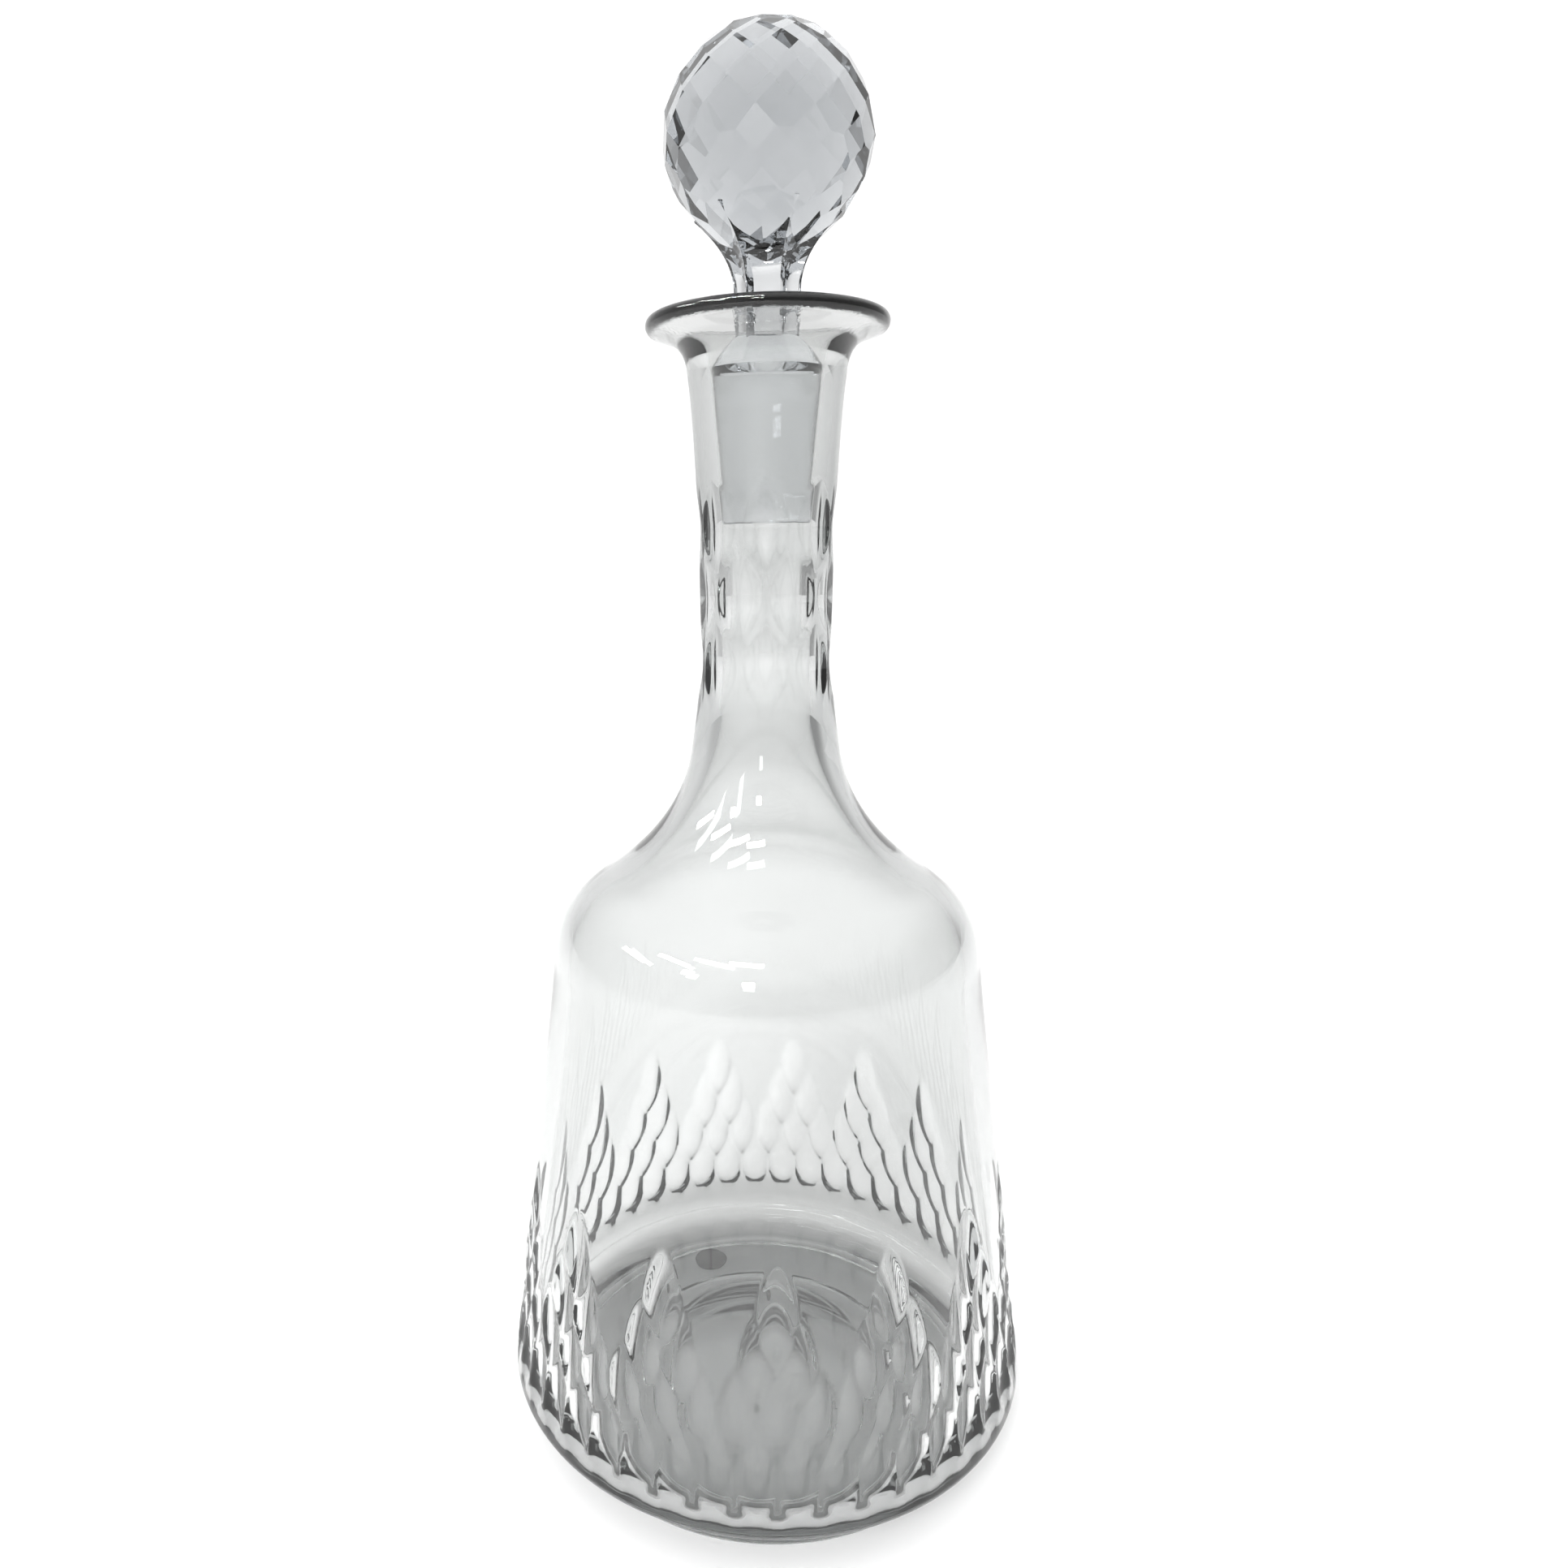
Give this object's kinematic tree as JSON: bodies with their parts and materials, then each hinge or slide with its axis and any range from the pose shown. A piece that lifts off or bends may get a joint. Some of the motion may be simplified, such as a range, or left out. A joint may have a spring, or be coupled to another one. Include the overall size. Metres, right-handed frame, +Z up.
{
  "type": "wine decanter",
  "caption": "Heavy clear glass wine decanter: bell-shaped body, slim thick-walled neck with a flared lip, and a lift-out stopper with a faceted ball and tapered plug.",
  "frame": {"origin": "centre of the base, on the plane that the foot ring rests on", "axes": "+Z up along the decanter's axis, which is also the stopper's axis; the body is round, so +X and +Y only fix the facets and the label"},
  "size_m": [0.1242, 0.1242, 0.2984],
  "materials": {
    "clear_glass": "polished clear lead glass with shallow cuts",
    "stopper_glass": "polished faceted glass, faintly blue-grey",
    "label_paper": "aged matt paper"
  },
  "bodies": {
    "decanter": {"decanter_body": "clear_glass", "base_label": "label_paper"},
    "stopper": {"stopper": "stopper_glass"}
  },
  "joints": [
    {"name": "stopper_lift", "type": "slide", "parent": "decanter", "child": "stopper", "axis": [0, 0, 1], "range_m": [0, 0.06]}
  ]
}
